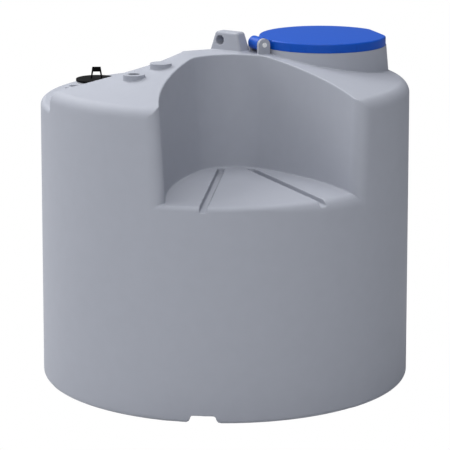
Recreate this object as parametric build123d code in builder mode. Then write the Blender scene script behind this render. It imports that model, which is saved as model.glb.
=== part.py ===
"""Drinking water tank: a round moulded tank with a pump recess, a fittings deck and a hinged manway lid.

Millimetres. The origin is the middle of the underside, on the tank's own axis, with +Z up.
Azimuths are in degrees, counted from +X towards +Y, so the pump recess opens towards -Y.
"""
from build123d import *
from math import asin, cos, degrees, hypot, radians, sin, tan
import os

os.makedirs("parts", exist_ok=True)

# Tank body, one grey polyethylene moulding
wall = 10.0
base_radius = 1000.0
base_edge_radius = 20.0
rim_radius = 988.0
rim_height = 1607.0
shoulder_radius = 65.0
crown_height = 1742.0
crown_radius = 215.0
crown_edge_radius = 260.0

# Pump recess, a niche with a shelf, cut into the front of the tank
recess_azimuth = -77.5
recess_apex = 15.0
recess_apex_radius = 220.0
recess_apex_half_angle = 50.0
recess_flank_radius = 1400.0
recess_draft = 3.2
recess_mouth_radius = 45.0
recess_flank_overrun = 4.0
shelf_height = 1130.0
shelf_edge_radius = 28.0

# Two drain grooves in the shelf: where each starts, and the way that it runs
groove_width = 47.0
groove_depth = 22.0
left_groove_start = (-20.0, -50.0)
left_groove_azimuth = -95.5
right_groove_start = (143.0, -63.0)
right_groove_azimuth = -65.7

# Strap channel under the base, in line with the left drain groove
channel_azimuth = -96.5
channel_width = 150.0
channel_height = 40.0
channel_length = 260.0
channel_draft = 17.0
channel_corner_radius = 12.0

# Fittings deck, a lowered flat stretch of the roof at the back left: its edge runs straight from the back,
# turns round a corner and goes on to the left in a flatter curve
deck_height = 1516.0
deck_shoulder_radius = 28.0
deck_corner_centre = (-685.0, 235.0)
deck_corner_radius = 447.0
deck_corner_turn = 55.0
deck_flank_radius = 2000.0
deck_flank_turn = 22.0
deck_azimuth = 157.5

# Manway neck and its opening
manway_azimuth = 26.0
manway_reach = 593.0
manway_opening_radius = 262.0
neck_height = 1762.0
neck_radius = 349.0
neck_draft = 5.5

# Manway lid, a hollow blue moulding with one flat side away from its hinge
lid_radius = 347.0
lid_flat_reach = 297.0
lid_skirt_height = 50.0
lid_thickness = 7.0
lid_rise = 4.0
lid_edge_radius = 4.0
lid_seat_gap = 0.3
lid_rib_count = 8
lid_rib_thickness = 6.0
lid_rib_depth = 18.0
lid_hub_radius = 60.0

# Seal ring under the lid
gasket_radius = 276.0
gasket_width = 12.0
gasket_thickness = 8.0
seal_rib_thickness = 8.0

# Lid hinge: its axis lies level, square to the manway's azimuth
hinge_reach = 394.0
hinge_height = 1791.0
hinge_length = 150.0
barrel_radius = 36.0
front_ear_radius = 34.0
back_ear_radius = 23.0
ear_thickness = 22.0
ear_side_gap = 1.0
pin_radius = 9.0
pin_head_radius = 13.0
pin_head_length = 4.0
pin_clearance = 0.05
arm_rise = 21.0
arm_drop = 14.0

# Lifting lug on the crown, with more draft on its ends than on its sides
lug_position = (27.0, 142.0)
lug_azimuth = -36.0
lug_length = 200.0
lug_width = 92.0
lug_height = 106.0
lug_end_draft = 16.0
lug_side_draft = 6.0
lug_edge_radius = 12.0
lug_hole_radius = 26.0
lug_hole_offset = -39.0
lug_hole_height = 60.0

# Pipe bosses on the roof and the deck
boss_radius = 57.0
boss_height = 25.0
boss_edge_radius = 2.5
boss_root = 30.0
socket_radius = 30.5
roof_socket_position = (-473.0, -372.0)
blind_boss_position = (-338.0, -220.0)
deck_socket_position = (-810.0, 80.0)
deck_socket_height = 33.0

# Inspection opening on the deck, with its collar, cap and handle
inspection_position = (-705.0, 250.0)
inspection_opening_radius = 85.0
collar_radius = 108.0
collar_height = 44.0
cap_radius = 113.0
cap_thickness = 13.0
cap_edge_radius = 3.0
handle_height = 63.0
handle_top_width = 46.0
handle_foot_width = 66.0
handle_grip_depth = 26.0
handle_leg_width = 9.0
handle_thickness = 10.0
handle_azimuth = 3.0
cap_spigot_depth = 12.0
cap_spigot_clearance = 0.3

# How far a rib or an arm runs into the wall that it grows out of
root = 1.0
upright = 0.9

# Where the shell's pieces meet
floor_seam_height = 60.0
shelf_seam_height = 1070.0
shelf_seam_inset = 3.0
roof_seam_height = 1440.0
mouth_half_angle = 36.5
recess_seam_back = 75.0
recess_seam_half_width = 262.0
deck_seam_margin = 30.0
crown_seam_radius = 330.0
manway_half_angle = 38.0
wall_seam_ring = 900.0
wall_side_names = (
    "wall_right_front",
    "wall_right",
    "wall_right_back",
    "wall_back_right",
    "wall_back_left",
    "wall_left_back",
    "wall_left",
    "wall_left_front",
)

clear_height = 2000.0
clear_radius = 1200.0


def around(azimuth, reach):
    """The plan point at a reach from the tank's axis, on an azimuth."""
    return (reach * cos(radians(azimuth)), reach * sin(radians(azimuth)))


def wall_radius(height):
    """The outside radius of the tapering wall at a height."""
    return base_radius + (rim_radius - base_radius) * height / rim_height


def roof_height(x, y):
    """The height of the sloping roof over a plan point, before its edges are rounded."""
    reach = hypot(x, y)
    slope = (crown_height - rim_height) / (rim_radius - crown_radius)
    return min(crown_height, rim_height + slope * (rim_radius - reach))


def turned_plane(azimuth, height, point=(0.0, 0.0)):
    """A level plane whose own x runs out along an azimuth."""
    x_way = (cos(radians(azimuth)), sin(radians(azimuth)), 0)
    return Plane(origin=(point[0], point[1], height), x_dir=x_way, z_dir=(0, 0, 1))


def flat_topped_drum(top, edge_radius, inset):
    """The tapering wall closed by a flat top, with every face set in by the inset."""
    with BuildPart() as drum:
        with BuildSketch(Plane.XZ) as section:
            with BuildLine():
                Polyline(
                    (0, inset),
                    (wall_radius(0) - inset, inset),
                    (wall_radius(top) - inset, top - inset),
                    (0, top - inset),
                    close=True,
                )
            make_face()
            fillet(section.vertices().group_by(Axis.Y)[0].sort_by(Axis.X)[-1], base_edge_radius - inset)
            fillet(section.vertices().group_by(Axis.Y)[-1].sort_by(Axis.X)[-1], edge_radius - inset)
        revolve(axis=Axis.Z)
    return drum.part


def coned_drum(inset):
    """The tapering wall closed by the coned roof, with every face set in by the inset."""
    with BuildPart() as drum:
        with BuildSketch(Plane.XZ) as section:
            with BuildLine():
                Polyline(
                    (0, inset),
                    (wall_radius(0) - inset, inset),
                    (rim_radius - inset, rim_height - inset),
                    (crown_radius, crown_height - inset),
                    (0, crown_height - inset),
                    close=True,
                )
            make_face()
            fillet(section.vertices().group_by(Axis.Y)[0].sort_by(Axis.X)[-1], base_edge_radius - inset)
            fillet(section.vertices().group_by(Axis.Y)[-1].sort_by(Axis.X)[-1], crown_edge_radius)
            rim = section.vertices().sort_by_distance((rim_radius, rim_height))[0]
            fillet(rim, shoulder_radius - inset)
        revolve(axis=Axis.Z)
    return drum.part


def recess_face(height, growth):
    """The recess's plan as a face at a height, grown sideways all round."""
    apex_centre = recess_apex + recess_apex_radius
    flank_heading = 90 - recess_apex_half_angle
    flank_start = (
        apex_centre - recess_apex_radius * cos(radians(recess_apex_half_angle)),
        recess_apex_radius * sin(radians(recess_apex_half_angle)),
    )
    flank_way = (cos(radians(flank_heading)), sin(radians(flank_heading)))
    with BuildSketch(turned_plane(recess_azimuth, height)) as plan:
        with BuildLine():
            CenterArc(
                (apex_centre, 0),
                recess_apex_radius,
                180 - recess_apex_half_angle,
                recess_apex_half_angle,
            )
            flank = JernArc(flank_start, flank_way, recess_flank_radius, -flank_heading - recess_flank_overrun)
            Line(flank @ 1, ((flank @ 1).X, 0))
            mirror(about=Plane.XZ)
        make_face()
        offset(amount=growth, kind=Kind.INTERSECTION)
    return plan.sketch


def recessed_block(inset):
    """The tall tapering wall with the pump recess cut through it and the recess's mouth rounded."""
    foot = shelf_seam_height
    wall_taper = degrees(asin((base_radius - rim_radius) / rim_height))
    growth = inset - (shelf_height - foot) * tan(radians(recess_draft))
    with BuildPart() as block:
        with BuildSketch(Plane.XY.offset(foot)):
            Circle(wall_radius(foot) - inset)
        extrude(amount=clear_height - foot, taper=wall_taper)
        extrude(recess_face(foot, growth), amount=clear_height - foot, taper=-recess_draft, mode=Mode.SUBTRACT)
        uprights = block.edges().filter_by(lambda edge: abs((edge % 0.5).Z) > upright)
        mouth = Vector(*around(recess_azimuth, base_radius), shelf_height)
        fillet(uprights.sort_by_distance(mouth)[:2], recess_mouth_radius - inset)
    return block.part


def groove_cutter(start, azimuth, inset):
    """The space of one drain groove, open at the front and round at the back."""
    with BuildPart() as cutter:
        with BuildSketch(turned_plane(azimuth, shelf_height - groove_depth - inset, start)):
            with BuildLine():
                half = groove_width / 2 + inset
                Line((0, half), (clear_radius, half))
                Line((clear_radius, half), (clear_radius, -half))
                Line((clear_radius, -half), (0, -half))
                ThreePointArc((0, -half), (-half, 0), (0, half))
            make_face()
        extrude(amount=groove_depth + wall + inset)
    return cutter.part


def channel_cutter(inset):
    """The space of the strap channel under the base, narrower at its top."""
    middle = base_radius - channel_length / 2 + clear_radius / 2 - inset / 2
    length = channel_length + clear_radius + inset
    with BuildPart() as cutter:
        with BuildSketch(turned_plane(channel_azimuth, 0)):
            with Locations((middle, 0)):
                Rectangle(length, channel_width + 2 * inset)
        extrude(amount=channel_height + inset, taper=channel_draft)
        fillet(cutter.faces().sort_by(Axis.Z)[-1].edges(), channel_corner_radius)
    return cutter.part


def deck_face(height, growth):
    """The deck's plan as a face at a height, grown sideways all round."""
    corner_x = deck_corner_centre[0] + deck_corner_radius
    with BuildSketch(Plane.XY.offset(height)) as plan:
        with BuildLine():
            back = Line((corner_x, clear_radius), (corner_x, deck_corner_centre[1]))
            corner = JernArc(back @ 1, (0, -1), deck_corner_radius, -deck_corner_turn)
            flank = JernArc(corner @ 1, corner % 1, deck_flank_radius, -deck_flank_turn)
            Polyline(flank @ 1, ((flank @ 1).X, clear_radius), (corner_x, clear_radius))
        make_face()
        offset(amount=growth, kind=Kind.INTERSECTION)
    return plan.sketch


def tank_form(inset):
    """The whole tank as one solid, with every face set in from the outside by the inset."""
    with BuildPart() as deck_space:
        extrude(deck_face(roof_seam_height, inset), amount=clear_height - roof_seam_height)
        add(flat_topped_drum(deck_height, deck_shoulder_radius, inset), mode=Mode.SUBTRACT)
    with BuildPart() as form:
        add(recessed_block(inset))
        add(coned_drum(inset), mode=Mode.INTERSECT)
        add(flat_topped_drum(shelf_height, shelf_edge_radius, inset))
        add(deck_space.part, mode=Mode.SUBTRACT)
        add(groove_cutter(left_groove_start, left_groove_azimuth, inset), mode=Mode.SUBTRACT)
        add(groove_cutter(right_groove_start, right_groove_azimuth, inset), mode=Mode.SUBTRACT)
        add(channel_cutter(inset), mode=Mode.SUBTRACT)
    return form.part


def sector(start, end, bottom, top, inner=0.0):
    """A wedge of space between two azimuths and two heights, outside an inner radius."""
    half = radians(end - start) / 2
    middle = (start + end) / 2
    reach = clear_radius / cos(half)
    with BuildPart() as wedge:
        with BuildSketch(turned_plane(middle, bottom)):
            with BuildLine():
                Polyline(
                    (inner * cos(half), -inner * sin(half)),
                    (reach * cos(half), -reach * sin(half)),
                    (reach * cos(half), reach * sin(half)),
                    (inner * cos(half), inner * sin(half)),
                    close=True,
                )
            make_face()
        extrude(amount=top - bottom)
    return wedge.part


def plain_cylinder(position, radius, bottom, top):
    """An upright cylinder of space."""
    with BuildPart() as cylinder:
        with BuildSketch(Plane.XY.offset(bottom)):
            with Locations(position):
                Circle(radius)
        extrude(amount=top - bottom)
    return cylinder.part


def recess_space():
    """The stretch of the tank whose shell belongs to the pump recess."""
    ring = (wall_seam_ring * cos(radians(mouth_half_angle)), wall_seam_ring * sin(radians(mouth_half_angle)))
    far = (clear_radius, clear_radius * tan(radians(mouth_half_angle)))
    with BuildPart() as space:
        with BuildSketch(turned_plane(recess_azimuth, shelf_seam_height)):
            with BuildLine():
                Polyline(
                    (-recess_seam_back, 0),
                    (-recess_seam_back, recess_seam_half_width),
                    ring,
                    far,
                    (far[0], 0),
                )
                mirror(about=Plane.XZ)
            make_face()
        extrude(amount=clear_height - shelf_seam_height)
    return space.part


def neck_space(inset):
    """The solid outline of the manway neck, from well under the roof up to its rim, set in by the inset."""
    foot = roof_seam_height
    with BuildPart() as space:
        with BuildSketch(Plane.XY.offset(neck_height - inset)):
            with Locations(manway_position):
                Circle(neck_radius - inset)
        extrude(amount=foot - neck_height + inset, taper=-neck_draft)
    return space.part


manway_position = around(manway_azimuth, manway_reach)

outer_form = tank_form(0.0)
inner_form = tank_form(wall)

with BuildPart() as shell:
    add(outer_form)
    add(inner_form, mode=Mode.SUBTRACT)
    add(neck_space(wall), mode=Mode.SUBTRACT)
    for socket_position in (roof_socket_position, deck_socket_position):
        add(plain_cylinder(socket_position, socket_radius, roof_seam_height, clear_height), mode=Mode.SUBTRACT)
    add(
        plain_cylinder(inspection_position, inspection_opening_radius, roof_seam_height, clear_height),
        mode=Mode.SUBTRACT,
    )


def shell_piece(name, inside, outside=()):
    """Export the part of the shell that lies inside some stretches of space and outside others."""
    with BuildPart() as piece:
        add(shell.part)
        for stretch in inside:
            add(stretch, mode=Mode.INTERSECT)
        for stretch in outside:
            add(stretch, mode=Mode.SUBTRACT)
    piece.part.label = name
    export_step(piece.part, "parts/" + name + ".step")


# Floor and wall segments, cut apart along azimuths
shell_piece("tank_floor", [plain_cylinder((0, 0), clear_radius, 0, floor_seam_height)])
mouth_left = recess_azimuth - mouth_half_angle
mouth_right = recess_azimuth + mouth_half_angle
for name, start in (("wall_front_left", mouth_left), ("wall_front_right", recess_azimuth)):
    shell_piece(name, [sector(start, start + mouth_half_angle, floor_seam_height, shelf_seam_height)])
side_angle = (360 - 2 * mouth_half_angle) / len(wall_side_names)
for index, name in enumerate(wall_side_names):
    start = mouth_right + index * side_angle
    shell_piece(
        name,
        [sector(start, start + side_angle, floor_seam_height, roof_seam_height, wall_seam_ring)],
    )

# Pump recess: the shelf with its drain grooves, and the wall round it in three lengths
recess_stretch = recess_space()
flank_start = recess_apex + recess_apex_radius * (1 - cos(radians(recess_apex_half_angle)))
with BuildPart() as apex_stretch:
    with BuildSketch(turned_plane(recess_azimuth, shelf_seam_height)):
        with Locations((flank_start - clear_radius, 0)):
            Rectangle(2 * clear_radius, 2 * clear_radius)
    extrude(amount=clear_height - shelf_seam_height)
left_stretch = sector(recess_azimuth - 90, recess_azimuth, shelf_seam_height, clear_height)
right_stretch = sector(recess_azimuth, recess_azimuth + 90, shelf_seam_height, clear_height)
shelf_stretch = extrude(
    recess_face(shelf_seam_height, -shelf_seam_inset),
    amount=clear_height - shelf_seam_height,
)
shell_piece("pump_shelf", [recess_stretch, shelf_stretch])
shell_piece("recess_back_wall", [recess_stretch, apex_stretch.part], [shelf_stretch])
shell_piece("recess_left_wall", [recess_stretch, left_stretch], [apex_stretch.part, shelf_stretch])
shell_piece("recess_right_wall", [recess_stretch, right_stretch], [apex_stretch.part, shelf_stretch])

# Fittings deck and the step up from it to the roof
deck_stretch = extrude(deck_face(roof_seam_height, deck_seam_margin), amount=clear_height - roof_seam_height)
above_deck = plain_cylinder((0, 0), clear_radius, deck_height, clear_height)
shell_piece("fittings_deck", [deck_stretch], [above_deck, recess_stretch])
shell_piece("deck_step_wall", [deck_stretch, above_deck], [recess_stretch])

# Coned roof, in a crown and the lengths between recess, manway and deck
crown_stretch = plain_cylinder(lug_position, crown_seam_radius, roof_seam_height, clear_height)
shell_piece("roof_crown", [crown_stretch], [recess_stretch, deck_stretch])
roof_sectors = {
    "roof_right_front": (mouth_left, manway_azimuth - manway_half_angle),
    "roof_right": (manway_azimuth - manway_half_angle, manway_azimuth),
    "roof_right_back": (manway_azimuth, manway_azimuth + manway_half_angle),
    "roof_back": (manway_azimuth + manway_half_angle, deck_azimuth),
    "roof_left": (deck_azimuth, mouth_left + 360),
}
for name, (start, end) in roof_sectors.items():
    shell_piece(
        name,
        [sector(start, end, roof_seam_height, clear_height)],
        [recess_stretch, deck_stretch, crown_stretch],
    )

# Manway neck: a drafted collar on the roof, with an inward flange that the lid closes
with BuildPart() as manway_neck:
    add(neck_space(0))
    add(neck_space(wall), mode=Mode.SUBTRACT)
    add(plain_cylinder(manway_position, manway_opening_radius, roof_seam_height, clear_height), mode=Mode.SUBTRACT)
    add(outer_form, mode=Mode.SUBTRACT)
manway_neck.part.label = "manway_neck"
export_step(manway_neck.part, "parts/manway_neck.step")

# Hinge: two ears on the crown carry the pin, and the lid's barrel turns on it
hinge_middle = Vector(*around(manway_azimuth, manway_reach - hinge_reach), hinge_height)
hinge_way = Vector(sin(radians(manway_azimuth)), -cos(radians(manway_azimuth)), 0)
hinge_out = Vector(cos(radians(manway_azimuth)), sin(radians(manway_azimuth)), 0)


def hinge_plane(shift):
    """An upright plane square to the hinge's axis, with its own x towards the lid and y up."""
    return Plane(origin=hinge_middle + hinge_way * shift, x_dir=hinge_out, z_dir=hinge_way)


ear_foot = hinge_height - crown_height + boss_root
for name, shift, radius in (
    ("hinge_ear_front", hinge_length / 2 - ear_thickness, front_ear_radius),
    ("hinge_ear_back", -hinge_length / 2, back_ear_radius),
):
    with BuildPart() as ear:
        with BuildSketch(hinge_plane(shift)):
            Circle(radius)
            with Locations((0, -ear_foot / 2)):
                Rectangle(2 * radius, ear_foot)
            Circle(pin_radius + pin_clearance, mode=Mode.SUBTRACT)
        extrude(amount=ear_thickness)
        add(outer_form, mode=Mode.SUBTRACT)
    ear.part.label = name
    export_step(ear.part, "parts/" + name + ".step")

with BuildPart() as hinge_pin:
    with BuildSketch(hinge_plane(-hinge_length / 2)):
        Circle(pin_radius)
    extrude(amount=hinge_length)
    for shift in (-hinge_length / 2 - pin_head_length, hinge_length / 2):
        with BuildSketch(hinge_plane(shift)):
            Circle(pin_head_radius)
        extrude(amount=pin_head_length)
hinge_pin.part.label = "hinge_pin"
export_step(hinge_pin.part, "parts/hinge_pin.step")

# Manway lid: a hollow cover with a skirt, ribs underneath, a ring that presses the seal, and the hinge barrel
lid_foot = neck_height + lid_seat_gap
lid_edge_height = lid_foot + lid_skirt_height
lid_centre_axis = Axis((*manway_position, 0), (0, 0, 1))


def lid_form(inset):
    """The lid's outline as one solid, with its top and its sides set in by the inset."""
    radius = lid_radius - inset
    with BuildPart() as form:
        with BuildSketch(turned_plane(manway_azimuth, lid_foot, manway_position)):
            Circle(radius)
            with Locations((lid_flat_reach - inset + lid_radius, 0)):
                Rectangle(2 * lid_radius, 2 * lid_radius, mode=Mode.SUBTRACT)
        extrude(amount=lid_skirt_height + lid_rise)
        with BuildSketch(Plane(origin=(*manway_position, 0), x_dir=(1, 0, 0), z_dir=(0, -1, 0))):
            with BuildLine():
                edge = lid_edge_height - inset
                top = edge + lid_rise
                ThreePointArc((0, top), (lid_radius / 2, top - lid_rise / 4), (lid_radius, edge))
                Line((lid_radius, edge), (lid_radius, lid_foot))
                Line((lid_radius, lid_foot), (0, lid_foot))
                Line((0, lid_foot), (0, top))
            make_face()
        revolve(axis=lid_centre_axis, mode=Mode.INTERSECT)
    return form.part


lid_top_inside = lid_edge_height - lid_thickness + lid_rise + root
with BuildPart() as manway_lid:
    add(lid_form(0))
    fillet(manway_lid.faces().sort_by(Axis.Z)[-1].edges(), lid_edge_radius)
    add(lid_form(lid_thickness), mode=Mode.SUBTRACT)
    rib_foot = lid_edge_height - lid_thickness - lid_rib_depth
    rib_length = gasket_radius - lid_hub_radius
    with BuildSketch(turned_plane(manway_azimuth, rib_foot, manway_position)):
        with PolarLocations(lid_hub_radius + rib_length / 2, lid_rib_count):
            Rectangle(rib_length, lid_rib_thickness)
        Circle(lid_hub_radius + lid_rib_thickness / 2)
        Circle(lid_hub_radius - lid_rib_thickness / 2, mode=Mode.SUBTRACT)
    extrude(amount=lid_top_inside - rib_foot)
    seal_foot = lid_foot + gasket_thickness
    with BuildSketch(turned_plane(manway_azimuth, seal_foot, manway_position)):
        Circle(gasket_radius + seal_rib_thickness / 2)
        Circle(gasket_radius - seal_rib_thickness / 2, mode=Mode.SUBTRACT)
    extrude(amount=lid_top_inside - seal_foot)
    barrel_half = hinge_length / 2 - ear_thickness - ear_side_gap
    arm_end = hinge_reach - lid_radius + lid_thickness - root
    with BuildSketch(hinge_plane(-barrel_half)):
        Circle(barrel_radius)
        with Locations((arm_end / 2, (arm_rise - arm_drop) / 2)):
            Rectangle(arm_end, arm_rise + arm_drop)
        Circle(pin_radius + pin_clearance, mode=Mode.SUBTRACT)
    extrude(amount=2 * barrel_half)
manway_lid.part.label = "manway_lid"
export_step(manway_lid.part, "parts/manway_lid.step")

with BuildPart() as lid_gasket:
    with BuildSketch(turned_plane(manway_azimuth, lid_foot, manway_position)):
        Circle(gasket_radius + gasket_width / 2)
        Circle(gasket_radius - gasket_width / 2, mode=Mode.SUBTRACT)
    extrude(amount=gasket_thickness)
lid_gasket.part.label = "lid_gasket"
export_step(lid_gasket.part, "parts/lid_gasket.step")

# Lifting lug: a drafted block with a hole across it
lug_top_length = lug_length - 2 * lug_height * tan(radians(lug_end_draft))
lug_top_width = lug_width - 2 * lug_height * tan(radians(lug_side_draft))
with BuildPart() as lifting_lug:
    with BuildSketch(turned_plane(lug_azimuth, crown_height, lug_position)):
        Rectangle(lug_length, lug_width)
    with BuildSketch(turned_plane(lug_azimuth, crown_height + lug_height, lug_position)):
        Rectangle(lug_top_length, lug_top_width)
    loft()
    fillet(lifting_lug.edges().filter_by(lambda edge: (edge @ 0.5).Z > crown_height + root), lug_edge_radius)
    with BuildSketch(turned_plane(lug_azimuth, crown_height, lug_position)):
        Rectangle(lug_length, lug_width)
    extrude(amount=-boss_root)
    with BuildSketch(Plane(
        origin=(*lug_position, crown_height),
        x_dir=(cos(radians(lug_azimuth)), sin(radians(lug_azimuth)), 0),
        z_dir=(sin(radians(lug_azimuth)), -cos(radians(lug_azimuth)), 0),
    )):
        with Locations((lug_hole_offset, lug_hole_height)):
            Circle(lug_hole_radius)
    extrude(amount=lug_width, both=True, mode=Mode.SUBTRACT)
    add(outer_form, mode=Mode.SUBTRACT)
lifting_lug.part.label = "lifting_lug"
export_step(lifting_lug.part, "parts/lifting_lug.step")


def boss(name, position, foot, top, bored):
    """Export an upright round boss that stands on the tank, with a bore through it or a closed top."""
    with BuildPart() as body:
        with BuildSketch(Plane.XY.offset(foot)):
            with Locations(position):
                Circle(boss_radius)
        extrude(amount=top - foot)
        fillet(body.faces().sort_by(Axis.Z)[-1].edges(), boss_edge_radius)
        if bored:
            add(plain_cylinder(position, socket_radius, foot, top), mode=Mode.SUBTRACT)
        add(outer_form, mode=Mode.SUBTRACT)
    body.part.label = name
    export_step(body.part, "parts/" + name + ".step")


for name, position, bored in (
    ("roof_socket_boss", roof_socket_position, True),
    ("blind_boss", blind_boss_position, False),
):
    middle_height = roof_height(*position)
    boss(name, position, middle_height - boss_root, middle_height + boss_height, bored)
boss("deck_socket_boss", deck_socket_position, deck_height - boss_root, deck_height + deck_socket_height, True)

# Inspection opening: a collar on the deck, closed by a black cap with a handle
with BuildPart() as inspection_collar:
    with BuildSketch(Plane.XY.offset(deck_height)):
        with Locations(inspection_position):
            Circle(collar_radius)
            Circle(inspection_opening_radius, mode=Mode.SUBTRACT)
    extrude(amount=collar_height)
inspection_collar.part.label = "inspection_collar"
export_step(inspection_collar.part, "parts/inspection_collar.step")

cap_foot = deck_height + collar_height
with BuildPart() as inspection_cap:
    with BuildSketch(Plane.XY.offset(cap_foot)):
        with Locations(inspection_position):
            Circle(cap_radius)
    extrude(amount=cap_thickness)
    fillet(inspection_cap.faces().sort_by(Axis.Z)[-1].edges(), cap_edge_radius)
    with BuildSketch(Plane.XY.offset(cap_foot)):
        with Locations(inspection_position):
            Circle(inspection_opening_radius - cap_spigot_clearance)
    extrude(amount=-cap_spigot_depth)
inspection_cap.part.label = "inspection_cap"
export_step(inspection_cap.part, "parts/inspection_cap.step")

cap_top = cap_foot + cap_thickness
handle_window_height = handle_height - handle_grip_depth
handle_lean = (handle_foot_width - handle_top_width) / 2 / handle_height
handle_window_top = handle_foot_width / 2 - handle_lean * handle_window_height - handle_leg_width
handle_way = (cos(radians(handle_azimuth)), sin(radians(handle_azimuth)), 0)
handle_face = Plane(
    origin=(*inspection_position, cap_top),
    x_dir=handle_way,
    z_dir=(sin(radians(handle_azimuth)), -cos(radians(handle_azimuth)), 0),
)
with BuildPart() as cap_handle:
    with BuildSketch(handle_face):
        with BuildLine():
            Polyline(
                (0, handle_height),
                (handle_top_width / 2, handle_height),
                (handle_foot_width / 2, 0),
                (handle_foot_width / 2 - handle_leg_width, 0),
                (handle_window_top, handle_window_height),
                (0, handle_window_height),
            )
            mirror(about=Plane.YZ)
        make_face()
    extrude(amount=handle_thickness / 2, both=True)
cap_handle.part.label = "cap_handle"
export_step(cap_handle.part, "parts/cap_handle.step")
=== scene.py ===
import bpy
import math
import numpy as np
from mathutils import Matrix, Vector


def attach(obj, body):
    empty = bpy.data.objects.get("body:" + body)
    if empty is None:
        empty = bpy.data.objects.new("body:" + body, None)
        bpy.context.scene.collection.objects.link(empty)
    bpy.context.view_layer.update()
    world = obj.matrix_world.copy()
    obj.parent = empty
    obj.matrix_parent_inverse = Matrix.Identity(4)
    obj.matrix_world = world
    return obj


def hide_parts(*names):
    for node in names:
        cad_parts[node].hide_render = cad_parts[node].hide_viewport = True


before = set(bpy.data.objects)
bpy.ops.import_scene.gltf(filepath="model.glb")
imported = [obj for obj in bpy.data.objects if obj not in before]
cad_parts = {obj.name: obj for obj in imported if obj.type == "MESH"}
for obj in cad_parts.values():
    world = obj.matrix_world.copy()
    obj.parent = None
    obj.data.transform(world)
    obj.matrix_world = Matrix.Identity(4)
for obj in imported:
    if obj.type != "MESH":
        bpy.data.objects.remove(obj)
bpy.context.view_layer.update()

# Tank body. One rotationally moulded shell of grey polyethylene: a tapering round wall, a coned roof, the pump
# recess with its shelf and drain grooves, the lowered fittings deck and the strap channel under the base.
# It is one piece in the mould, so its edges and the roots of what stands on it are all rounded.
wall_thickness = 0.010
base_radius = 1.000
rim_radius = 0.988
rim_height = 1.607
crown_radius = 0.215
crown_height = 1.742
base_edge = 0.020
shoulder_rounding = 0.0539
crown_rounding = 0.006

recess_azimuth = math.radians(-77.5)
recess_apex_centre = 0.235
recess_apex_radius = 0.220
recess_apex_half_angle = math.radians(50)
recess_flank_centre = (0.9935, 0.9040)
recess_flank_radius = 1.400
recess_draft = math.radians(3.2)
recess_edge = 0.006
mouth_rounding = 0.085

shelf_height = 1.130
shelf_edge = 0.028
shelf_edge_growth = 0.034
shelf_edge_grows_between = (0.10, 0.62)
shelf_root = 0.005
shelf_root_grows_between = (0.03, 0.07)
groove_half_width = 0.0185
groove_depth = 0.029
groove_floor_rounding = 0.008
groove_lip = 0.004
drain_grooves = (((-0.020, -0.050), -95.5), ((0.143, -0.063), -65.7))

channel_azimuth = math.radians(-96.5)
channel_half_width = 0.075
channel_height = 0.040
channel_start = 0.740
channel_draft = math.radians(17)
channel_corner = 0.012
channel_roof_rounding = 0.010
channel_lip = 0.004

deck_height = 1.516
deck_corner = (-0.685, 0.235)
deck_corner_radius = 0.447
deck_corner_turn = math.radians(55)
deck_flank_radius = 2.000
deck_shoulder = 0.028
deck_root = 0.008
step_edge = 0.006
step_rounding_grows_between = (0.012, 0.05)

manway_centre = (0.593 * math.cos(math.radians(26)), 0.593 * math.sin(math.radians(26)))
neck_radius = 0.349
neck_height = 1.762
neck_draft = math.radians(5.5)
neck_foot = 1.58
neck_root = 0.010
lug_centre = (0.027, 0.142)
lug_azimuth = math.radians(-36)
lug_half = (0.100, 0.046)
lug_end_draft = math.radians(16)
lug_side_draft = math.radians(6)
lug_corner = 0.012
lug_root = 0.022
hinge_azimuth = math.radians(26)
hinge_centre = (0.199 * math.cos(hinge_azimuth), 0.199 * math.sin(hinge_azimuth))
hinge_ears = ((-0.064, 0.034), (0.064, 0.023))
ear_half_thickness = 0.011
ear_corner = 0.002
ear_root = 0.008
boss_radius = 0.057
boss_root = 0.008
socket_radius = 0.0305
bosses = ((-0.473, -0.372, 1.674), (-0.338, -0.220, 1.709), (-0.810, 0.080, 1.516))
inspection_centre = (-0.705, 0.250)
inspection_opening = 0.085
collar_radius = 0.108
collar_root = 0.005

fitting_inset = 0.001
root_height = 0.012
root_depth = 0.04
passage_play = 0.001
neck_passage_play = 0.002
passage_floor = 1.45
floor_play = 0.0005


def rounded_and(a, b, radius):
    """The solid inside both a and b, with the edge where they cross rounded off."""
    rounding = np.hypot(np.maximum(radius + a, 0), np.maximum(radius + b, 0))
    return np.minimum(-radius, np.maximum(a, b)) + rounding


def rounded_or(a, b, radius):
    """The solid inside a or b, with the corner where they meet filled to a radius."""
    filling = np.hypot(np.maximum(radius - a, 0), np.maximum(radius - b, 0))
    return np.maximum(radius, np.minimum(a, b)) - filling


def fade(value, start, end):
    """Rises smoothly from 0 at start to 1 at end."""
    share = np.clip((value - start) / (end - start), 0, 1)
    return share * share * (3 - 2 * share)


def along_and_across(x, y, azimuth, point=(0.0, 0.0)):
    """A point's place along a direction in plan, and across it."""
    dx, dy = x - point[0], y - point[1]
    along = dx * math.cos(azimuth) + dy * math.sin(azimuth)
    return along, dy * math.cos(azimuth) - dx * math.sin(azimuth)


def recess_distance(x, y, z):
    """How far a point lies outside the pump recess's drafted wall."""
    along, across = along_and_across(x, y, recess_azimuth)
    across = np.abs(across)
    from_apex = along - recess_apex_centre
    at_apex = np.arctan2(across, from_apex) > math.pi - recess_apex_half_angle
    apex = np.hypot(from_apex, across) - recess_apex_radius
    flank_reach = np.hypot(along - recess_flank_centre[0], across + recess_flank_centre[1])
    grown = (z - shelf_height) * math.tan(recess_draft)
    return (np.where(at_apex, apex, flank_reach - recess_flank_radius) - grown) * math.cos(recess_draft)


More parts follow.
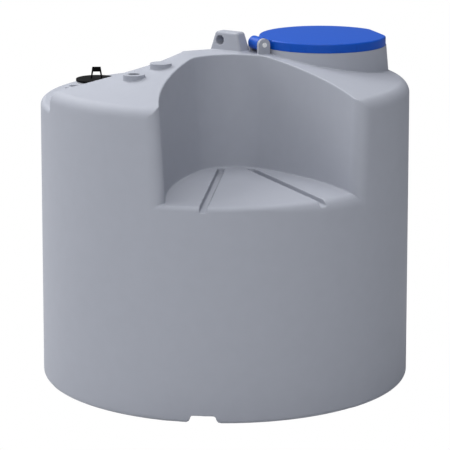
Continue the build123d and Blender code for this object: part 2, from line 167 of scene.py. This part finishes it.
def deck_distance(x, y):
    """How far a point lies outside the deck's plan: a straight edge, a round corner and a flatter flank."""
    dx, dy = x - deck_corner[0], y - deck_corner[1]
    further = deck_flank_radius - deck_corner_radius
    flank_x = dx + further * math.cos(deck_corner_turn)
    flank_y = dy - further * math.sin(deck_corner_turn)
    flank = np.hypot(flank_x, flank_y) - deck_flank_radius
    at_corner = np.arctan2(dy, dx) > -deck_corner_turn
    turned = np.where(at_corner, np.hypot(dx, dy) - deck_corner_radius, flank)
    return np.where(dy > 0, dx - deck_corner_radius, turned)


def neck_distance(x, y, z):
    """How far a point lies outside the manway neck's drafted side."""
    reach = np.hypot(x - manway_centre[0], y - manway_centre[1])
    return (reach - neck_radius - (neck_height - z) * math.tan(neck_draft)) * math.cos(neck_draft)


def plain_body(x, y, z):
    """The moulding before anything stands on it: below zero inside, above zero outside, in metres."""
    reach = np.hypot(x, y)
    taper = (base_radius - rim_radius) / rim_height
    wall = (reach - base_radius + taper * z) / math.hypot(1, taper)
    slope = (crown_height - rim_height) / (rim_radius - crown_radius)
    cone = (z - rim_height - slope * (rim_radius - reach)) / math.hypot(1, slope)
    roof = rounded_and(cone, z - crown_height, crown_rounding)
    recess = recess_distance(x, y, z)
    upper = np.maximum(
        rounded_and(wall, -recess, mouth_rounding), rounded_and(wall, roof, shoulder_rounding)
    )
    upper = np.maximum(upper, rounded_and(roof, -recess, recess_edge))
    front_rounding = shelf_edge + shelf_edge_growth * fade(x, *shelf_edge_grows_between)
    shelf = rounded_and(wall, z - shelf_height, front_rounding)
    body = rounded_or(upper, shelf, shelf_root * fade(-wall, *shelf_root_grows_between))
    deck = rounded_and(wall, z - deck_height, deck_shoulder)
    inward = fade(-wall, *step_rounding_grows_between)
    lowered = rounded_or(-deck_distance(x, y), deck, deck_root * inward)
    body = rounded_and(body, lowered, step_edge * inward)
    for start, azimuth in drain_grooves:
        along, across = along_and_across(x, y, math.radians(azimuth), start)
        side = np.where(along > 0, np.abs(across), np.hypot(along, across)) - groove_half_width
        groove = rounded_and(side, shelf_height - groove_depth - z, groove_floor_rounding)
        groove = np.maximum(groove, z - shelf_height - wall_thickness)
        body = rounded_and(body, -groove, groove_lip)
    along, across = along_and_across(x, y, channel_azimuth)
    opening_out = z * math.tan(channel_draft)
    side = (np.abs(across) - channel_half_width + opening_out) * math.cos(channel_draft)
    end = (channel_start - along + opening_out) * math.cos(channel_draft)
    channel = rounded_and(side, end, channel_corner)
    channel = rounded_and(channel, z - channel_height, channel_roof_rounding)
    body = rounded_and(body, -channel, channel_lip)
    return rounded_and(body, -z, base_edge)


def fittings_outline(x, y, z):
    """Each thing that stands on the moulding: its side's distance, its foot and the rounding at its root."""
    yield neck_distance(x, y, z), neck_foot, neck_root
    for centre_x, centre_y, foot in bosses:
        yield np.hypot(x - centre_x, y - centre_y) - boss_radius, foot, boss_root
    collar_reach = np.hypot(x - inspection_centre[0], y - inspection_centre[1])
    yield collar_reach - collar_radius, deck_height, collar_root
    along, across = along_and_across(x, y, lug_azimuth, lug_centre)
    end = np.abs(along) - lug_half[0] + (z - crown_height) * math.tan(lug_end_draft)
    side = np.abs(across) - lug_half[1] + (z - crown_height) * math.tan(lug_side_draft)
    yield rounded_and(end, side, lug_corner), crown_height, lug_root
    along, across = along_and_across(x, y, hinge_azimuth, hinge_centre)
    for middle, half_width in hinge_ears:
        thickness = np.abs(across - middle) - ear_half_thickness
        yield rounded_and(np.abs(along) - half_width, thickness, ear_corner), crown_height, ear_root


def passages(x, y, z):
    """The spaces that open the shell: under the neck, in the two sockets and under the inspection cap."""
    open_space = neck_distance(x, y, z) + wall_thickness - neck_passage_play
    for centre_x, centre_y, _ in (bosses[0], bosses[2]):
        socket = np.hypot(x - centre_x, y - centre_y) - socket_radius - passage_play
        open_space = np.minimum(open_space, socket)
    inspection = np.hypot(x - inspection_centre[0], y - inspection_centre[1])
    open_space = np.minimum(open_space, inspection - inspection_opening - passage_play)
    return np.maximum(open_space, passage_floor - z)


def outer_skin(x, y, z):
    """The moulding with the root of everything that stands on it filled, and with its passages open."""
    plain = plain_body(x, y, z)
    body = plain
    for side, foot, root in fittings_outline(x, y, z):
        footing = np.maximum(np.maximum(side + fitting_inset, plain - root_height), foot - root_depth - z)
        body = rounded_or(body, footing, root)
    through_wall = np.maximum(passages(x, y, z), -(plain + wall_thickness + floor_play))
    return np.maximum(body, -through_wall)


def inner_skin(x, y, z):
    return plain_body(x, y, z) + wall_thickness


def slopes(surface, points, step):
    """Which way a surface's value grows fastest at each point."""
    x, y, z = points.T
    return np.stack([
        surface(x + step, y, z) - surface(x - step, y, z),
        surface(x, y + step, z) - surface(x, y - step, z),
        surface(x, y, z + step) - surface(x, y, z - step),
    ], axis=1) / (2 * step)


def settle(surface, points, rounds, step):
    """Move points on to the surface along its slope."""
    least_slope = 1e-4
    for _ in range(rounds):
        slope = slopes(surface, points, step)
        value = surface(*points.T)
        move = slope * (value / np.maximum((slope ** 2).sum(1), least_slope))[:, None]
        points = points - np.clip(move, -step, step)
    return points


def sampled(surface, pitch, low, high):
    """A surface's value at each grid corner, worked out finely only in the blocks that it may cross."""
    block, near_share, batch = 6, 1.25, 1500
    count = [int(math.ceil((top - bottom) / pitch / block)) for bottom, top in zip(low, high)]
    middles = [low[i] + (np.arange(count[i]) + 0.5) * block * pitch for i in range(3)]
    coarse = surface(*np.meshgrid(*middles, indexing="ij"))
    values = np.repeat(np.repeat(np.repeat(coarse, block, 0), block, 1), block, 2).astype(np.float32)
    values = np.pad(values, ((0, 1), (0, 1), (0, 1)), mode="edge")
    near = np.argwhere(np.abs(coarse) < block * pitch * near_share)
    offsets = np.stack(np.meshgrid(*[np.arange(block + 1)] * 3, indexing="ij"), -1).reshape(-1, 3)
    for chunk in np.array_split(near, max(1, len(near) // batch)):
        index = (chunk[:, None, :] * block + offsets[None]).reshape(-1, 3)
        values[tuple(index.T)] = surface(*(low + index * pitch).T)
    return values


def skin_mesh(surface, pitch, low, high):
    """Points and four-cornered faces of a surface, one point in each grid cell that it crosses."""
    low = np.array(low)
    values = sampled(surface, pitch, low, high)
    inside = values < 0
    corners = [(i, j, k) for i in (0, 1) for j in (0, 1) for k in (0, 1)]
    size = [n - 1 for n in inside.shape]

    def at(array, corner):
        return array[tuple(slice(c, c + n) for c, n in zip(corner, size))]

    some = np.zeros(size, bool)
    every = np.ones(size, bool)
    for corner in corners:
        some |= at(inside, corner)
        every &= at(inside, corner)
    crossed = some & ~every
    cells = np.argwhere(crossed)
    number = np.full(size, -1, np.int32)
    number[crossed] = np.arange(len(cells))
    corner_values = np.stack([at(values, c)[crossed] for c in corners], 1)
    total = np.zeros((len(cells), 3))
    hits = np.zeros(len(cells))
    for a, first in enumerate(corners):
        for b, second in enumerate(corners):
            if b > a and sum(abs(p - q) for p, q in zip(first, second)) == 1:
                va, vb = corner_values[:, a], corner_values[:, b]
                cut = (va < 0) != (vb < 0)
                share = np.where(cut, va / np.where(cut, va - vb, 1), 0)
                place = np.array(first) + share[:, None] * (np.array(second) - np.array(first))
                total += place * cut[:, None]
                hits += cut
    points = low + (cells + total / hits[:, None]) * pitch
    faces = []
    for axis in range(3):
        u, v = (axis + 1) % 3, (axis + 2) % 3
        lower = tuple(slice(None, -1) if i == axis else slice(1, -1) for i in range(3))
        upper = tuple(slice(1, None) if i == axis else slice(1, -1) for i in range(3))
        change = inside[lower] != inside[upper]
        edges = np.argwhere(change) + np.array([0 if i == axis else 1 for i in range(3)])
        leaving = inside[lower][change]
        step_u, step_v = np.eye(3, dtype=int)[u], np.eye(3, dtype=int)[v]
        around = (step_u + step_v, step_v, np.zeros(3, int), step_u)
        quads = np.stack([number[tuple((edges - back).T)] for back in around], 1)
        quads[~leaving] = quads[~leaving][:, ::-1]
        faces.append(quads)
    return points, np.concatenate(faces)


def mesh_object(name, points, faces):
    mesh = bpy.data.meshes.new(name)
    mesh.from_pydata(points.tolist(), [], faces.tolist())
    piece = bpy.data.objects.new(name, mesh)
    bpy.context.scene.collection.objects.link(piece)
    return piece


def smooth_object(name, points, triangles, normals):
    """A piece that is smooth shaded by the normals given for its points."""
    piece = mesh_object(name, points, triangles)
    piece.data.shade_smooth()
    piece.data.normals_split_custom_set_from_vertices(normals.tolist())
    return piece


def thin(piece, ratio):
    """Give the piece a plain mesh with fewer faces where it is flat."""
    fewer = piece.modifiers.new("fewer", "DECIMATE")
    fewer.ratio = ratio
    evaluated = piece.evaluated_get(bpy.context.evaluated_depsgraph_get())
    mesh = bpy.data.meshes.new_from_object(evaluated)
    piece.modifiers.remove(fewer)
    piece.data = mesh


def mesh_arrays(mesh):
    """A mesh's points, and the three corners of each of its triangles."""
    points = np.zeros(len(mesh.vertices) * 3)
    mesh.vertices.foreach_get("co", points)
    corners = np.zeros(len(mesh.loops), int)
    mesh.loops.foreach_get("vertex_index", corners)
    return points.reshape(-1, 3), corners.reshape(-1, 3)


def skin(name, surface, pitch, ratio, low, high):
    """A thinned skin of a surface as points, triangles and exact normals, with its faces outwards."""
    settle_step = pitch / 8
    normal_step = 0.0012
    points, faces = skin_mesh(surface, pitch, low, high)
    points = settle(surface, points, 2, settle_step)
    crossways = np.linalg.norm(points[faces[:, 0]] - points[faces[:, 2]], axis=1)
    other_way = np.linalg.norm(points[faces[:, 1]] - points[faces[:, 3]], axis=1)
    turned = np.where((crossways > other_way)[:, None], np.roll(faces, -1, axis=1), faces)
    piece = mesh_object(name, points, np.concatenate([turned[:, [0, 1, 2]], turned[:, [0, 2, 3]]]))
    thin(piece, ratio)
    points, triangles = mesh_arrays(piece.data)
    bpy.data.objects.remove(piece)
    points = settle(surface, points, 1, settle_step)
    normals = slopes(surface, points, normal_step)
    normals /= np.maximum(np.linalg.norm(normals, axis=1), 1e-9)[:, None]
    return points, triangles, normals


def on_passage_floor(x, y, z):
    """Whether a point is on the closed end of a passage, level with the shell's inner face."""
    near, well_inside = 0.003, -0.002
    at_inner_face = np.abs(plain_body(x, y, z) + wall_thickness + floor_play) < near
    return at_inner_face & (passages(x, y, z) < well_inside)


body_low, body_high = (-1.03, -1.03, -0.03), (1.03, 1.03, 1.79)
outer_pitch, outer_ratio = 0.008, 0.22
inner_pitch, inner_ratio = 0.026, 0.5
quick_factor = 1.0
outer_points, outer_faces, outer_normals = skin(
    "outer", outer_skin, outer_pitch * quick_factor, outer_ratio * quick_factor, body_low, body_high
)
inner_points, inner_faces, inner_normals = skin(
    "inner", inner_skin, inner_pitch, inner_ratio, body_low, body_high
)
outer_faces = outer_faces[~on_passage_floor(*outer_points[outer_faces].mean(1).T)]
inner_faces = inner_faces[passages(*inner_points[inner_faces].mean(1).T) > 0][:, ::-1]
tank_body = smooth_object(
    "tank_body",
    np.concatenate([outer_points, inner_points]),
    np.concatenate([outer_faces, inner_faces + len(outer_points)]),
    np.concatenate([outer_normals, -inner_normals]),
)

body_nodes = [
    "tank_floor", "pump_shelf", "recess_back_wall", "recess_left_wall", "recess_right_wall",
    "fittings_deck", "deck_step_wall", "roof_crown", "roof_right_front", "roof_right", "roof_right_back",
    "roof_back", "roof_left", "wall_front_left", "wall_front_right", "wall_right_front", "wall_right",
    "wall_right_back", "wall_back_right", "wall_back_left", "wall_left_back", "wall_left", "wall_left_front",
]
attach(tank_body, "tank")
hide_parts(*body_nodes)


def moulded_group():
    """Shader group for moulded plastic: a faint mottle in the colour and the mould's finely dimpled skin."""
    tree = bpy.data.node_groups.new("moulded_skin", "ShaderNodeTree")
    for name, kind, default in (
        ("Colour", "NodeSocketColor", (0.5, 0.5, 0.5, 1)), ("Mottle", "NodeSocketFloat", 0.05),
        ("Mottle scale", "NodeSocketFloat", 30.0), ("Dimple scale", "NodeSocketFloat", 260.0),
        ("Dimple depth", "NodeSocketFloat", 0.1), ("Roughness", "NodeSocketFloat", 0.5),
    ):
        tree.interface.new_socket(name, in_out="INPUT", socket_type=kind).default_value = default
    for name, kind in (
        ("Colour", "NodeSocketColor"), ("Roughness", "NodeSocketFloat"), ("Normal", "NodeSocketVector"),
    ):
        tree.interface.new_socket(name, in_out="OUTPUT", socket_type=kind)
    nodes, links = tree.nodes, tree.links
    given, result = nodes.new("NodeGroupInput"), nodes.new("NodeGroupOutput")
    place = nodes.new("ShaderNodeTexCoord")
    broad, fine = nodes.new("ShaderNodeTexNoise"), nodes.new("ShaderNodeTexNoise")
    broad.inputs["Detail"].default_value = 3.0
    fine.inputs["Detail"].default_value = 2.0
    for noise, scale in ((broad, "Mottle scale"), (fine, "Dimple scale")):
        links.new(place.outputs["Object"], noise.inputs["Vector"])
        links.new(given.outputs[scale], noise.inputs["Scale"])
    centred = nodes.new("ShaderNodeMath")
    centred.operation = "SUBTRACT"
    centred.inputs[1].default_value = 0.5
    links.new(broad.outputs["Fac"], centred.inputs[0])
    amount = nodes.new("ShaderNodeMath")
    amount.operation = "MULTIPLY_ADD"
    amount.inputs[2].default_value = 1.0
    links.new(centred.outputs[0], amount.inputs[0])
    links.new(given.outputs["Mottle"], amount.inputs[1])
    tint = nodes.new("ShaderNodeVectorMath")
    tint.operation = "SCALE"
    links.new(given.outputs["Colour"], tint.inputs[0])
    links.new(amount.outputs[0], tint.inputs["Scale"])
    links.new(tint.outputs[0], result.inputs["Colour"])
    rough = nodes.new("ShaderNodeMath")
    rough.operation = "MULTIPLY"
    links.new(given.outputs["Roughness"], rough.inputs[0])
    links.new(amount.outputs[0], rough.inputs[1])
    links.new(rough.outputs[0], result.inputs["Roughness"])
    bump = nodes.new("ShaderNodeBump")
    bump.inputs["Distance"].default_value = 0.001
    links.new(given.outputs["Dimple depth"], bump.inputs["Strength"])
    links.new(fine.outputs["Fac"], bump.inputs["Height"])
    links.new(bump.outputs[0], result.inputs["Normal"])
    return tree


moulded_skin = moulded_group()


def moulded_plastic(name, colour, roughness, specular, mottle, mottle_scale, dimple_scale, dimple_depth):
    """A plastic straight from its mould, with the mould's skin."""
    material = bpy.data.materials.new(name)
    material.use_nodes = True
    nodes, links = material.node_tree.nodes, material.node_tree.links
    shader = nodes["Principled BSDF"]
    shader.inputs["Specular IOR Level"].default_value = specular
    group = nodes.new("ShaderNodeGroup")
    group.node_tree = moulded_skin
    for socket, value in (
        ("Colour", (*colour, 1)), ("Roughness", roughness), ("Mottle", mottle),
        ("Mottle scale", mottle_scale), ("Dimple scale", dimple_scale), ("Dimple depth", dimple_depth),
    ):
        group.inputs[socket].default_value = value
    for made, used in (("Colour", "Base Color"), ("Roughness", "Roughness"), ("Normal", "Normal")):
        links.new(group.outputs[made], shader.inputs[used])
    return material


def dress(material, *nodes):
    """Give nodes of the frame this material in place of the one that they came with."""
    for node in nodes:
        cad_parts[node].data.materials.clear()
        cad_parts[node].data.materials.append(material)


grey_polyethylene = moulded_plastic(
    "grey_polyethylene", (0.37, 0.385, 0.432), roughness=0.62, specular=0.22,
    mottle=0.06, mottle_scale=14.0, dimple_scale=240.0, dimple_depth=0.12,
)
tank_body.data.materials.append(grey_polyethylene)

# Deck socket. A low round boss of grey polyethylene near the front of the fittings deck, for a pipe fitting.
# It is moulded with the body and bored right through, with its lips rounded.
socket_foot = 1.504
socket_top = 1.560
socket_sides = 72
socket_profile = [
    (socket_radius, socket_foot), (boss_radius, socket_foot),
    (boss_radius, socket_top - 0.0025), (boss_radius - 0.0007, socket_top - 0.0007),
    (boss_radius - 0.0025, socket_top), (socket_radius + 0.0020, socket_top),
    (socket_radius + 0.0006, socket_top - 0.0007), (socket_radius, socket_top - 0.0020),
]
ring_size = len(socket_profile)
socket_points = []
socket_faces = []
for side in range(socket_sides):
    turn = 2 * math.pi * side / socket_sides
    here, there = side * ring_size, (side + 1) % socket_sides * ring_size
    for i, (reach, height) in enumerate(socket_profile):
        following = (i + 1) % ring_size
        socket_points.append(
            (bosses[2][0] + reach * math.cos(turn), bosses[2][1] + reach * math.sin(turn), height)
        )
        socket_faces.append((here + i, there + i, there + following, here + following))
deck_socket = mesh_object("deck_socket", np.array(socket_points), np.array(socket_faces))
deck_socket.data.shade_smooth()
deck_socket.data.set_sharp_from_angle(angle=math.radians(50))
deck_socket.data.materials.append(grey_polyethylene)
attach(deck_socket, "tank")
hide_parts("deck_socket_boss")

# Lifting lug. A drafted block of grey polyethylene on the crown, moulded with the body. All its edges are
# rounded, and a round hole runs across one end for a shackle.
lug_top = 1.848
lug_end_growth = 0.003
lug_side_growth = 0.002
lug_corner_edge = 0.014
lug_top_edge = 0.012
lug_hole = (-0.039, 1.802)
lug_hole_radius = 0.026
lug_hole_lip = 0.003
lug_sunk = 0.009
lug_low, lug_high = (-0.11, 0.0, 1.72), (0.17, 0.28, 1.86)
lug_pitch, lug_ratio = 0.004, 0.5


def lug_surface(x, y, z):
    along, across = along_and_across(x, y, lug_azimuth, lug_centre)
    end = np.abs(along) - lug_half[0] - lug_end_growth + (z - crown_height) * math.tan(lug_end_draft)
    side = np.abs(across) - lug_half[1] - lug_side_growth + (z - crown_height) * math.tan(lug_side_draft)
    block = rounded_and(rounded_and(end, side, lug_corner_edge), z - lug_top, lug_top_edge)
    hole = np.hypot(along - lug_hole[0], z - lug_hole[1]) - lug_hole_radius
    return np.maximum(rounded_and(block, -hole, lug_hole_lip), crown_height - lug_sunk - z)


lug_block = smooth_object(
    "lug_block", *skin("lug_block", lug_surface, lug_pitch * quick_factor, lug_ratio, lug_low, lug_high)
)
lug_block.data.materials.append(grey_polyethylene)
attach(lug_block, "tank")
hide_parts("lifting_lug")

# Manway neck, hinge ears and roof bosses. The neck carries the lid, the two ears hold its pin, and of the two
# bosses one is open and one is blind. All are of grey polyethylene, moulded with the body.
dress(grey_polyethylene, "manway_neck", "hinge_ear_front", "hinge_ear_back", "roof_socket_boss", "blind_boss")

# Inspection opening. A light grey plastic collar on the deck, closed by a turned black plastic cap that has a
# handle for the fingers. The collar is fixed to the deck and the cap sits in the collar.
collar_grey = moulded_plastic(
    "collar_grey", (0.62, 0.63, 0.65), roughness=0.45, specular=0.3,
    mottle=0.04, mottle_scale=40.0, dimple_scale=400.0, dimple_depth=0.05,
)
cap_black = moulded_plastic(
    "cap_black", (0.002, 0.002, 0.002), roughness=0.6, specular=0.08,
    mottle=0.1, mottle_scale=60.0, dimple_scale=500.0, dimple_depth=0.06,
)
dress(collar_grey, "inspection_collar")
dress(cap_black, "inspection_cap", "cap_handle")

# Manway lid. A blue injection-moulded cover with a flat side and a skirt. Under it are eight ribs, a hub ring
# and a rib that holds its black rubber seal. It lies on the neck, and its barrel turns on a white pin between
# the hinge's ears.
lid_radius = 0.347
lid_flat_azimuth = math.radians(16.4)
lid_flat_reach = 0.323
lid_corner = 0.012
lid_foot = 1.7623
lid_edge_height = 1.8123
lid_rise = 0.004
lid_top_edge = 0.009
lid_wall = 0.007
lid_inner_edge = 0.004
rib_count = 8
rib_start = 0.057
rib_foot = 1.7873
rib_half_thickness = 0.003
rib_overlap = 0.003
rib_root = 0.002
hub_radius = 0.060
seal_rib_radius = 0.276
seal_rib_half_thickness = 0.004
seal_rib_foot = 1.7703
hinge_height = 1.791
barrel_radius = 0.036
barrel_half_length = 0.052
barrel_end_edge = 0.002
pin_bore = 0.0102
arm_length = 0.0535
arm_rise = 0.021
arm_drop = 0.014
arm_root = 0.012
hinge_root = 0.005
lid_low, lid_high = (0.10, -0.12, 1.745), (0.92, 0.64, 1.84)
lid_pitch, lid_ratio = 0.0035, 0.3


def lid_surface(x, y, z):
    dx, dy = x - manway_centre[0], y - manway_centre[1]
    reach = np.hypot(dx, dy)
    flat = dx * math.cos(lid_flat_azimuth) + dy * math.sin(lid_flat_azimuth) - lid_flat_reach
    outline = rounded_and(reach - lid_radius, flat, lid_corner)
    over_top = z - lid_edge_height - lid_rise * (1 - (reach / lid_radius) ** 2)
    cover = rounded_and(outline, over_top, lid_top_edge)
    hollow = rounded_and(outline + lid_wall, over_top + lid_wall, lid_inner_edge)
    body = np.maximum(cover, -hollow)
    bearing = np.arctan2(dy, dx) - hinge_azimuth
    half_turn = math.pi / rib_count
    folded = (bearing + half_turn) % (2 * half_turn) - half_turn
    rib = np.maximum(
        np.abs(reach * np.sin(folded)) - rib_half_thickness,
        np.maximum(rib_start - reach, reach - seal_rib_radius),
    )
    hub = np.abs(reach - hub_radius) - rib_half_thickness
    ribs = np.maximum(np.minimum(rib, hub), rib_foot - z)
    seal_rib = np.maximum(np.abs(reach - seal_rib_radius) - seal_rib_half_thickness, seal_rib_foot - z)
    underside = np.maximum(np.minimum(ribs, seal_rib), over_top + rib_overlap)
    body = np.maximum(rounded_or(body, underside, rib_root), lid_foot - z)
    along, across = along_and_across(x, y, hinge_azimuth, hinge_centre)
    up = z - hinge_height
    barrel = np.hypot(along, up) - barrel_radius
    arm = np.maximum(np.maximum(-along, along - arm_length), np.maximum(up - arm_rise, -arm_drop - up))
    hinge = rounded_or(barrel, arm, arm_root)
    hinge = rounded_and(hinge, np.abs(across) - barrel_half_length, barrel_end_edge)
    return np.maximum(rounded_or(body, hinge, hinge_root), pin_bore - np.hypot(along, up))


lid_blue = moulded_plastic(
    "lid_blue", (0.004, 0.078, 0.47), roughness=0.42, specular=0.22,
    mottle=0.05, mottle_scale=25.0, dimple_scale=420.0, dimple_depth=0.05,
)
seal_rubber = moulded_plastic(
    "seal_rubber", (0.02, 0.02, 0.02), roughness=0.8, specular=0.3,
    mottle=0.2, mottle_scale=90.0, dimple_scale=600.0, dimple_depth=0.1,
)
pin_white = moulded_plastic(
    "pin_white", (0.85, 0.85, 0.84), roughness=0.4, specular=0.4,
    mottle=0.03, mottle_scale=90.0, dimple_scale=600.0, dimple_depth=0.04,
)
lid_cover = smooth_object(
    "lid_cover", *skin("lid_cover", lid_surface, lid_pitch * quick_factor, lid_ratio, lid_low, lid_high)
)
lid_cover.data.materials.append(lid_blue)
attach(lid_cover, "lid")
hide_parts("manway_lid")
dress(seal_rubber, "lid_gasket")
dress(pin_white, "hinge_pin")

# Studio. A floor and a background that are pure white to the camera, soft round lamps above, to the left and in
# front of the tank, and a camera with a long lens in front of it, a little above it.
floor_reach = 40.0
floor_height = -0.002
floor_mesh = bpy.data.meshes.new("studio_floor")
floor_mesh.from_pydata(
    [(x * floor_reach, y * floor_reach, floor_height) for x, y in ((-1, -1), (1, -1), (1, 1), (-1, 1))],
    [], [(0, 1, 2, 3)],
)
studio_floor = bpy.data.objects.new("studio_floor", floor_mesh)
bpy.context.scene.collection.objects.link(studio_floor)

floor_paint = bpy.data.materials.new("floor_paint")
floor_paint.use_nodes = True
paint_nodes, paint_links = floor_paint.node_tree.nodes, floor_paint.node_tree.links
paint = paint_nodes["Principled BSDF"]
paint.inputs["Base Color"].default_value = (0.8, 0.8, 0.8, 1)
paint.inputs["Roughness"].default_value = 0.9
white = paint_nodes.new("ShaderNodeEmission")
white.inputs["Color"].default_value = (1, 1, 1, 1)
paint_path = paint_nodes.new("ShaderNodeLightPath")
paint_mix = paint_nodes.new("ShaderNodeMixShader")
paint_links.new(paint_path.outputs["Is Camera Ray"], paint_mix.inputs["Fac"])
paint_links.new(paint.outputs[0], paint_mix.inputs[1])
paint_links.new(white.outputs[0], paint_mix.inputs[2])
paint_links.new(paint_mix.outputs[0], paint_nodes["Material Output"].inputs["Surface"])
floor_mesh.materials.append(floor_paint)

world = bpy.data.worlds.new("studio_world")
bpy.context.scene.world = world
world.use_nodes = True
world_nodes, world_links = world.node_tree.nodes, world.node_tree.links
surround = world_nodes["Background"]
surround.inputs["Color"].default_value = (0.86, 0.90, 1.0, 1)
surround.inputs["Strength"].default_value = 0.26
backdrop = world_nodes.new("ShaderNodeBackground")
backdrop.inputs["Color"].default_value = (1, 1, 1, 1)
backdrop.inputs["Strength"].default_value = 1.0
world_path = world_nodes.new("ShaderNodeLightPath")
world_mix = world_nodes.new("ShaderNodeMixShader")
world_links.new(world_path.outputs["Is Camera Ray"], world_mix.inputs["Fac"])
world_links.new(surround.outputs[0], world_mix.inputs[1])
world_links.new(backdrop.outputs[0], world_mix.inputs[2])
world_links.new(world_mix.outputs[0], world_nodes["World Output"].inputs["Surface"])

lamp_target = Vector((0, 0, 1.0))
for name, place, size, power in (
    ("top_light", (0.0, 0.0, 9.0), 8.0, 408.0),
    ("back_left_light", (-5.0, 4.0, 7.0), 5.0, 450.0),
    ("left_light", (-8.0, 0.0, 3.0), 5.0, 107.0),
    ("front_left_light", (-5.0, -3.0, 7.5), 4.0, 70.0),
    ("front_light", (0.0, -9.0, 6.0), 5.0, 255.0),
):
    lamp = bpy.data.lights.new(name, "AREA")
    lamp.shape = "DISK"
    lamp.size = size
    lamp.energy = power
    holder = bpy.data.objects.new(name, lamp)
    holder.location = place
    holder.rotation_euler = (lamp_target - Vector(place)).to_track_quat("-Z", "Y").to_euler()
    bpy.context.scene.collection.objects.link(holder)

camera_pitch = math.radians(13.549)
camera_data = bpy.data.cameras.new("photo_camera")
camera_data.lens = 172.1
camera_data.sensor_width = 36.0
camera_data.clip_end = 200.0
photo_camera = bpy.data.objects.new("photo_camera", camera_data)
photo_camera.location = (0, -11.42, 3.556)
photo_camera.rotation_euler = (math.pi / 2 - camera_pitch, 0, 0)
bpy.context.scene.collection.objects.link(photo_camera)
bpy.context.scene.camera = photo_camera
bpy.context.scene.view_settings.view_transform = "Standard"
